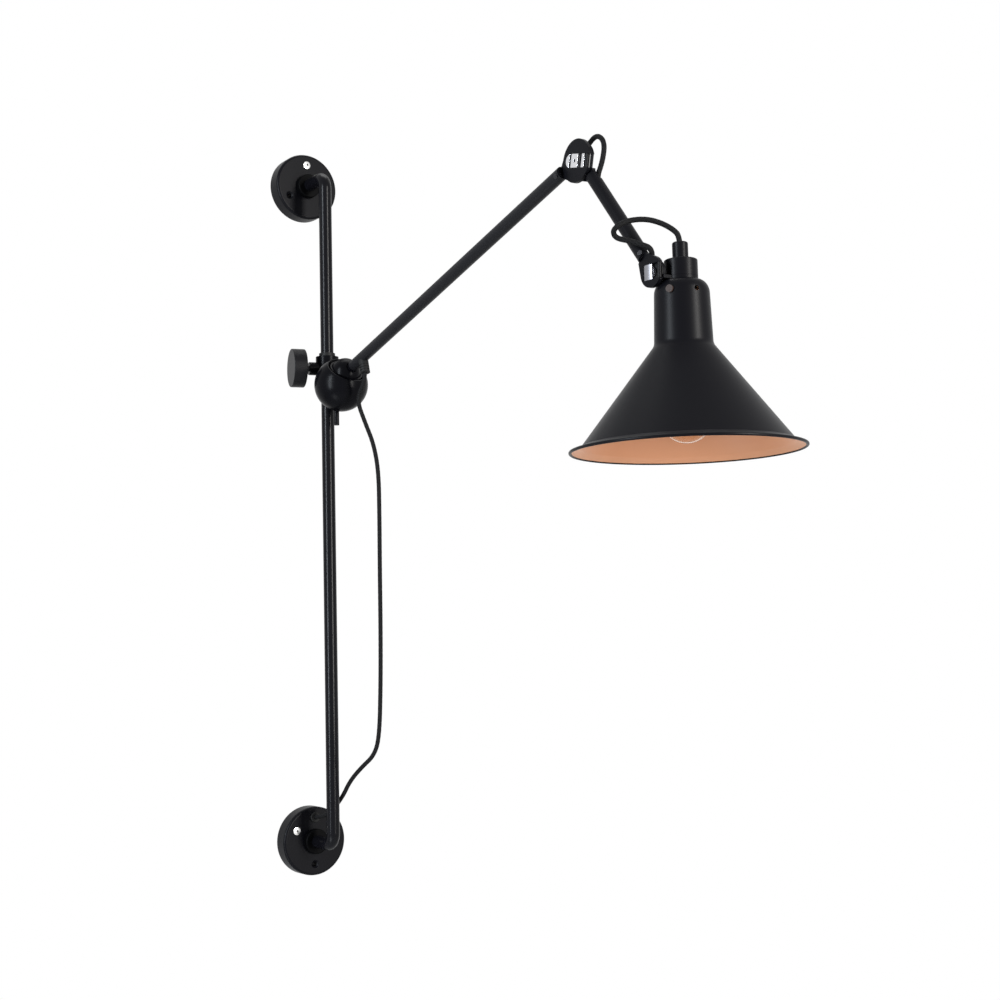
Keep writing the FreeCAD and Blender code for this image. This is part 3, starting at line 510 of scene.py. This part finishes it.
def paintSunkShade(obj, node):
    want = shadedSunkFaces[node]
    obj.data.materials.append(materials[want["finish"]])
    for face in obj.data.polygons:
        middle = face.center / mm
        inside = all(low < c < high for low, c, high in zip(want["low"], middle, want["high"]))
        if inside and -face.normal.x > want["facing"]:
            face.material_index = 1


# copies of the frame's solids with merged seams, eased edges and even shading
dressing = dict(weld=0.002 * mm, flatDeg=0.2, easeDeg=40, easeSteps=2)


def tidyCopy(node, finish, easing):
    shape = bmesh.new()
    shape.from_mesh(frame["nodes"][node].data)
    bmesh.ops.remove_doubles(shape, verts=shape.verts, dist=dressing["weld"])
    bmesh.ops.dissolve_degenerate(shape, edges=shape.edges, dist=dressing["weld"])
    flat = math.radians(dressing["flatDeg"])
    bmesh.ops.dissolve_limit(shape, angle_limit=flat, verts=shape.verts, edges=shape.edges)
    obj = objectFrom(node + "_finished", shape)
    obj.data.materials.append(materials[finish])
    if easing:
        edge = obj.modifiers.new("easing", "BEVEL")
        edge.width = easing * mm
        edge.segments = dressing["easeSteps"]
        edge.limit_method = "ANGLE"
        edge.angle_limit = math.radians(dressing["easeDeg"])
    softShade(obj, "solid")
    even = obj.modifiers.new("even", "WEIGHTED_NORMAL")
    even.keep_sharp = True
    bakeModifiers(obj)
    # sunk faces of the pivots get their painted shade
    if node in shadedSunkFaces:
        paintSunkShade(obj, node)
    seatPiece(obj, bodyOf[node], slotOf[finish], node)


# under each finish, its solids and the width of their eased edges in millimetres
wallParts = dict(
    satinBlack=(("top_rosette", 0.3), ("bottom_rosette", 0.3)),
    glossBlack=(("bar_tube", 0.0),),
    zincSteel=(("top_lock_nut", 0.3), ("bottom_lock_nut", 0.3)),
    rubberBlack=(("cable_grommet", 0.4),),
    mouldedBlack=(("terminal_block", 0.5),),
    deepBlack=(("top_boss", 0.0), ("bottom_boss", 0.0)),
)
sliderParts = dict(
    # the ball housing takes the darker copy of the gloss black, painted shade
    housingBlack=(("slider_body", 0.25), ("retaining_ring", 0.3), ("swivel_ball", 0.0), ("ball_stem", 0.0),
                  ("tension_stud", 0.3)),
    mouldedBlack=(("slide_bush", 0.3), ("ball_seat", 0.0), ("clamp_shoe", 0.0)),
    knobBlack=(("clamp_knob", 0.0),),
    darkSteel=(("clamp_screw", 0.2), ("bush_clip", 0.2), ("seat_spring", 0.0)),
)
armParts = dict(
    # the lower tube takes the lighter copy of the black paint, painted light
    armBlack=(("lower_tube", 0.0),),
    satinBlack=(("upper_tube", 0.0), ("lower_jaw", 0.3), ("upper_jaw", 0.3), ("wrist_jaw", 0.3)),
    rubberBlack=(("cable_ferrule", 0.25), ("lower_cable", 0.0), ("upper_cable", 0.0)),
    brightChrome=(("elbow_pivot", 0.3), ("elbow_washer", 0.15)),
    greySteel=(("wrist_pivot", 0.3),),
    zincSteel=(("elbow_nut", 0.4),),
    blackSteel=(("elbow_pin", 0.0), ("wrist_pin", 0.0)),
    darkSteel=(("wrist_nut", 0.4), ("lower_rivet", 0.3), ("wrist_rivet", 0.3)),
)
headParts = dict(
    satinBlack=(("head_bracket", 0.3), ("holder_cap", 0.0), ("cable_gland", 0.0)),
    mouldedBlack=(("lampholder", 0.5), ("wrist_washer", 0.15)),
    nickelBrass=(("holder_nipple", 0.2), ("bulb_base", 0.4)),
    brownSteel=(("shade_screw_1", 0.3), ("shade_screw_2", 0.3)),
)
slotFinishes = dict(
    black_paint=("satinBlack", "glossBlack", "armBlack", "housingBlack"),
    black_plastic=("deepBlack", "knobBlack", "mouldedBlack"),
    black_rubber=("rubberBlack",),
    chrome=("brightChrome",),
    steel=("greySteel", "zincSteel", "darkSteel", "blackSteel", "brownSteel"),
    brass=("nickelBrass",),
)
slotOf = {finish: slot for slot, group in slotFinishes.items() for finish in group}


for parts in (wallParts, sliderParts, armParts, headParts):
    for finish, entries in parts.items():
        for node, easing in entries:
            tidyCopy(node, finish, easing)
print("solids dressed")


# the lamp head's own frame: height along its axis, measured from the wrist
headAxis = dict(side=29.8, out=7.9, tiltDeg=0.6)
headFrame = (Matrix.Translation(pivots["head_tilt"])
             @ Matrix.Rotation(math.radians(-headAxis["tiltDeg"]), 4, "X")
             @ Matrix.Translation(Vector((headAxis["side"], -headAxis["out"], 0)) * mm))


def arcPoints(centre, radius, fromDeg, toDeg, steps):
    turns = [math.radians(fromDeg + (toDeg - fromDeg) * i / steps) for i in range(steps + 1)]
    return [(centre[0] + radius * math.cos(t), centre[1] + radius * math.sin(t)) for t in turns]


# a closed outline of (radius, height) in millimetres, turned about the axis
def latheSolid(name, outline, zones, place, sides):
    shape = bmesh.new()
    rows = []
    for r, h in outline:
        if r < 1e-6:
            rows.append([shape.verts.new((0, 0, h * mm))])
            continue
        turns = [2 * math.pi * k / sides for k in range(sides)]
        rows.append([shape.verts.new((r * mm * math.cos(t), r * mm * math.sin(t), h * mm)) for t in turns])
    for i, row in enumerate(rows):
        after = rows[(i + 1) % len(rows)]
        for k in range(sides):
            n = (k + 1) % sides
            corners = [row[k % len(row)], row[n % len(row)], after[n % len(after)], after[k % len(after)]]
            corners = list(dict.fromkeys(corners))
            if len(corners) > 2:
                face = shape.faces.new(corners)
                face.material_index = zones[i]
    bmesh.ops.recalc_face_normals(shape, faces=shape.faces)
    shape.transform(place)
    return objectFrom(name, shape)


def drillHole(obj, start, way, radius, depth, sides=32):
    tool = bmesh.new()
    bmesh.ops.create_cone(tool, cap_ends=True, segments=sides, radius1=radius, radius2=radius, depth=depth)
    turn = Vector(way).to_track_quat("Z", "Y").to_matrix().to_4x4()
    tool.transform(Matrix.Translation(start) @ turn)
    cutAway(obj, tool)


shade = dict(topZ=-6.8, topR=14.0, shoulderZ=-18.0, shoulderR=22.7, neckZ=-59.7, neckR=24.05, lipZ=-140.5, lipR=86.2,
             rimR=96.3, rimZ=-146.2, bead=1.3, wall=1.0, collarR=5.0, kneeR=9.0, ventDeg=261.5, ventD=4.2,
             ventZ=-17.0, ventDrill=8.0, lipBack=0.3, archSteps=8, kneeSteps=8, beadDegs=(120, -170), beadSteps=14,
             sides=192)


# corner of two straight runs eased by a round of the given radius
def roundCorner(before, corner, after, radius, steps):
    a = (Vector(before) - Vector(corner)).normalized()
    b = (Vector(after) - Vector(corner)).normalized()
    half = a.angle(b) / 2
    reach = radius / math.tan(half)
    centre = Vector(corner) + (a + b).normalized() * (radius / math.sin(half))
    first = Vector(corner) + a * reach - centre
    last = Vector(corner) + b * reach - centre
    return [tuple(centre + first.lerp(last, i / steps).normalized() * radius) for i in range(steps + 1)]


def shadeSide(inset):
    s = shade
    lean = math.hypot(s["lipR"] - s["neckR"], s["neckZ"] - s["lipZ"]) / (s["neckZ"] - s["lipZ"])
    top = s["topZ"] - inset
    shoulder = (s["shoulderR"] - inset, s["shoulderZ"])
    neck = (s["neckR"] - inset, s["neckZ"])
    lip = (s["lipR"] - inset * lean, s["lipZ"])
    rise = shoulder[1] - top
    arch = []
    for i in range(s["archSteps"] + 1):
        t = math.radians(90 - 90 * i / s["archSteps"])
        arch.append((s["topR"] + (shoulder[0] - s["topR"]) * math.cos(t), shoulder[1] - rise * math.sin(t)))
    knee = roundCorner(shoulder, neck, lip, s["kneeR"], s["kneeSteps"])
    return [(s["collarR"], top)] + arch + knee + [lip]


def addShade():
    s = shade
    outer = shadeSide(0)
    inner = list(reversed(shadeSide(s["wall"])))
    beadC = (s["rimR"] - s["bead"], s["rimZ"] + s["bead"])
    bead = arcPoints(beadC, s["bead"], *s["beadDegs"], s["beadSteps"])
    flange = [(s["lipR"] - s["lipBack"], s["lipZ"] - s["wall"])]
    outline = outer + bead + flange + inner
    zones = [0] * (len(outer) + len(bead) - 1) + [1] * (len(flange) + len(inner) + 1)
    obj = latheSolid("shade_finished", outline, zones, headFrame, s["sides"])
    obj.data.materials.append(materials["satinBlack"])
    obj.data.materials.append(materials["copperCoat"])
    turn = math.radians(s["ventDeg"])
    way = headFrame.to_3x3() @ Vector((math.cos(turn), math.sin(turn), 0))
    wallAt = headFrame @ Vector((s["shoulderR"] * math.cos(turn) * mm, s["shoulderR"] * math.sin(turn) * mm,
                                 s["ventZ"] * mm))
    drillHole(obj, wallAt, way, s["ventD"] * mm / 2, s["ventDrill"] * mm)
    softShade(obj, "turned")
    seatPiece(obj, "head", "black_paint", "shade")


bulb = dict(globeR=22.5, tipZ=-139.6, globeDeg=58, steps=26, neckR=9.0, neckZ=-81.0, wall=0.35, sides=64)


def addBulb():
    b = bulb
    centre = (0.0, b["tipZ"] + b["globeR"])
    outer = arcPoints(centre, b["globeR"], -90, b["globeDeg"], b["steps"])
    inner = arcPoints(centre, b["globeR"] - b["wall"], b["globeDeg"], -90, b["steps"])
    outer[0] = (0.0, b["tipZ"])
    inner[-1] = (0.0, b["tipZ"] + b["wall"])
    neck = [(b["neckR"], b["neckZ"]), (b["neckR"] - b["wall"], b["neckZ"])]
    outline = outer + neck + inner
    obj = latheSolid("bulb_glass_finished", outline, [0] * len(outline), headFrame, b["sides"])
    obj.data.materials.append(materials["clearGlass"])
    softShade(obj, "glass")
    seatPiece(obj, "head", "bulb_glass", "bulb_glass")


addShade()
addBulb()
print("shade and bulb made")


# heads of screws set on spots by one node tree, their cross recesses painted dark as painted shade
wallScrew = dict(headD=8.4, headDeep=2.1, dome=0.5, crossW=1.1, crossL=3.2, crossDeep=0.9, shankD=3.8, shankLen=17.0,
                 edge=0.2, domeSteps=6, pitShare=0.54, pitTop=0.2, sides=32, face=18.3, pcd=50.0, topDegs=(90, 330),
                 bottomDegs=(150, 30), spacing=732.0, seed=4)


def crossHead(name, want):
    r = want["headD"] / 2
    steps = want["domeSteps"]
    top = [(r * i / steps, want["dome"] * (1 - (i / steps) ** 2)) for i in range(steps + 1)]
    foot = want["shankD"] / 2
    low = [(r, -want["edge"]), (foot, -want["headDeep"]), (foot, -want["shankLen"]), (0.0, -want["shankLen"])]
    outline = top + low
    obj = latheSolid(name, outline, [0] * len(outline), Matrix.Identity(4), want["sides"])
    size = Matrix.Diagonal((want["crossL"] * mm, want["crossW"] * mm, want["crossDeep"] * 2 * mm, 1))
    lift = Matrix.Translation((0, 0, want["dome"] * mm))
    for turn in (0, 90):
        tool = bmesh.new()
        bmesh.ops.create_cube(tool, size=1.0)
        tool.transform(lift @ Matrix.Rotation(math.radians(turn), 4, "Z") @ size)
        cutAway(obj, tool)
    # faces in the cross recess, which get a dark finish as painted shade
    pit = obj.data.attributes.new("pit", "BOOLEAN", "FACE")
    for face in obj.data.polygons:
        inside = face.center.xy.length < want["crossL"] * want["pitShare"] * mm
        pit.data[face.index].value = inside and -want["crossDeep"] * mm < face.center.z < want["pitTop"] * mm
    softShade(obj, "turned")
    return obj


spotInputs = [
    ("Spots", "NodeSocketGeometry", None),
    ("Head", "NodeSocketObject", None),
    ("Size", "NodeSocketFloat", 1.0),
    ("Seed", "NodeSocketInt", 4),
    ("Finish", "NodeSocketMaterial", None),
    ("Pit Finish", "NodeSocketMaterial", None),
]
spotOutputs = [("Heads", "NodeSocketGeometry")]


def headsOnSpots():
    tree, given, made = makeGroup("headsOnSpots", spotInputs, spotOutputs, "GeometryNodeTree")
    links = tree.links
    dots = addNode(tree, "GeometryNodeMeshToPoints", (-600, 200))
    links.new(given.outputs["Spots"], dots.inputs["Mesh"])
    head = addNode(tree, "GeometryNodeObjectInfo", (-600, -100))
    links.new(given.outputs["Head"], head.inputs["Object"])
    way = addNode(tree, "GeometryNodeInputNamedAttribute", (-900, -400), data_type="FLOAT_VECTOR")
    way.inputs["Name"].default_value = "way"
    stand = addNode(tree, "FunctionNodeAlignRotationToVector", (-600, -400), axis="Z")
    links.new(way.outputs["Attribute"], stand.inputs["Vector"])
    chance = addNode(tree, "FunctionNodeRandomValue", (-900, -700), data_type="FLOAT")
    chance.inputs[3].default_value = math.pi / 2
    links.new(given.outputs["Seed"], chance.inputs["Seed"])
    spin = addNode(tree, "FunctionNodeAxisAngleToRotation", (-600, -700))
    links.new(chance.outputs[1], spin.inputs["Angle"])
    turn = addNode(tree, "FunctionNodeRotateRotation", (-300, -500), rotation_space="LOCAL")
    links.new(stand.outputs["Rotation"], turn.inputs["Rotation"])
    links.new(spin.outputs["Rotation"], turn.inputs["Rotate By"])
    placed = addNode(tree, "GeometryNodeInstanceOnPoints", (0, 100))
    links.new(dots.outputs["Points"], placed.inputs["Points"])
    links.new(head.outputs["Geometry"], placed.inputs["Instance"])
    links.new(turn.outputs["Rotation"], placed.inputs["Rotation"])
    links.new(given.outputs["Size"], placed.inputs["Scale"])
    solid = addNode(tree, "GeometryNodeRealizeInstances", (300, 100))
    links.new(placed.outputs["Instances"], solid.inputs["Geometry"])
    coated = addNode(tree, "GeometryNodeSetMaterial", (600, 100))
    links.new(solid.outputs["Geometry"], coated.inputs["Geometry"])
    links.new(given.outputs["Finish"], coated.inputs["Material"])
    # recess faces take the dark recess finish, painted shade
    pit = addNode(tree, "GeometryNodeInputNamedAttribute", (300, -300), data_type="BOOLEAN")
    pit.inputs["Name"].default_value = "pit"
    sunk = addNode(tree, "GeometryNodeSetMaterial", (750, 100))
    links.new(coated.outputs["Geometry"], sunk.inputs["Geometry"])
    links.new(pit.outputs["Attribute"], sunk.inputs["Selection"])
    links.new(given.outputs["Pit Finish"], sunk.inputs["Material"])
    links.new(sunk.outputs["Geometry"], made.inputs["Heads"])
    return tree


headTree = headsOnSpots()


def setHeads(name, spots, ways, head, finish, pitShadeFinish, seed):
    mesh = bpy.data.meshes.new(name)
    mesh.from_pydata([tuple(p) for p in spots], [], [])
    facing = mesh.attributes.new("way", "FLOAT_VECTOR", "POINT")
    for entry, way in zip(facing.data, ways):
        entry.vector = way
    obj = newObject(name, mesh)
    grown = obj.modifiers.new("heads", "NODES")
    grown.node_group = headTree
    values = {"Head": head, "Size": 1.0, "Seed": seed, "Finish": materials[finish],
              "Pit Finish": materials[pitShadeFinish]}
    for item in headTree.interface.items_tree:
        if item.in_out == "INPUT" and item.name in values:
            grown[item.identifier] = values[item.name]
    bakeModifiers(obj)
    softShade(obj, "turned")
    return obj


def addWallScrews():
    w = wallScrew
    head = crossHead("wallScrewHead", w)
    spots = []
    for degs, z in ((w["topDegs"], 0.0), (w["bottomDegs"], -w["spacing"])):
        for deg in degs:
            t = math.radians(deg)
            spots.append(Vector((math.cos(t) * w["pcd"] / 2, -w["face"], z + math.sin(t) * w["pcd"] / 2)) * mm)
    # the screws' cross recesses get moulded black as painted shade
    obj = setHeads("wall_screws", spots, [(0, -1, 0)] * len(spots), head, "zincSteel", "mouldedBlack", w["seed"])
    bpy.data.objects.remove(head)
    seatPiece(obj, "root", "steel")


addWallScrews()
print("screws set")


# plain pale floor, soft boxes and a white surround
lighting = dict(
    floorSize=3.0, floorZ=-1.5, floorTone=(0.82, 0.82, 0.82), floorRough=0.9, fill=0.20,
    boxes=(
        dict(name="leftBox", at=(-1.63, -0.48, -0.1), aim=(0, -0.35, -0.35), size=(0.24, 1.5),
             power=52, tone=(0.86, 0.93, 1.0)),
        dict(name="rightBox", at=(0.52, -2.03, -0.1), aim=(0, -0.35, -0.35), size=(0.34, 1.5),
             power=60, tone=(1.0, 0.98, 0.95)),
        dict(name="lowBox", at=(-0.55, -0.25, -1.10), aim=(0.06, -0.64, -0.33), size=(0.3, 0.3),
             power=1.8, tone=(0.95, 0.97, 1.0)),
        dict(name="topBox", at=(0.3, 0.2, 1.6), aim=(0, -0.4, -0.35), size=(1.2, 0.8),
             power=12, tone=(1.0, 1.0, 1.0)),
    ),
)


def addFloor():
    half = lighting["floorSize"] / 2
    z = lighting["floorZ"]
    mesh = bpy.data.meshes.new("floor")
    corners = [(-half, -half, z), (half, -half, z), (half, half, z), (-half, half, z)]
    mesh.from_pydata(corners, [], [(0, 1, 2, 3)])
    material = bpy.data.materials.new("floorPale")
    material.use_nodes = True
    shader = material.node_tree.nodes["Principled BSDF"]
    shader.inputs["Base Color"].default_value = (*lighting["floorTone"], 1)
    shader.inputs["Roughness"].default_value = lighting["floorRough"]
    mesh.materials.append(material)
    newObject("floor", mesh)


def addLights():
    for box in lighting["boxes"]:
        data = bpy.data.lights.new(box["name"], "AREA")
        data.shape = "RECTANGLE"
        data.size, data.size_y = box["size"]
        data.energy = box["power"]
        data.color = box["tone"]
        obj = newObject(box["name"], data)
        way = Vector(box["aim"]) - Vector(box["at"])
        obj.matrix_world = Matrix.Translation(box["at"]) @ way.to_track_quat("-Z", "Y").to_matrix().to_4x4()
    world = bpy.data.worlds.new("studio")
    scene.world = world
    world.use_nodes = True
    tree = world.node_tree
    tree.nodes.clear()
    path = addNode(tree, "ShaderNodeLightPath", (-900, 0))
    seen = mathNode(tree, "MAXIMUM", (-600, 100), path.outputs["Is Camera Ray"], path.outputs["Is Glossy Ray"])
    seen = mathNode(tree, "MAXIMUM", (-400, 100), seen, path.outputs["Is Transmission Ray"])
    dim = addNode(tree, "ShaderNodeBackground", (-200, -100))
    dim.inputs["Strength"].default_value = lighting["fill"]
    plain = addNode(tree, "ShaderNodeBackground", (-200, 100))
    for shader in (dim, plain):
        shader.inputs["Color"].default_value = (1, 1, 1, 1)
    mix = addNode(tree, "ShaderNodeMixShader", (100, 0))
    tree.links.new(seen, mix.inputs[0])
    tree.links.new(dim.outputs[0], mix.inputs[1])
    tree.links.new(plain.outputs[0], mix.inputs[2])
    out = addNode(tree, "ShaderNodeOutputWorld", (300, 0))
    tree.links.new(mix.outputs[0], out.inputs["Surface"])
    scene.view_settings.view_transform = "Standard"


addFloor()
addLights()
print("floor and lights set")
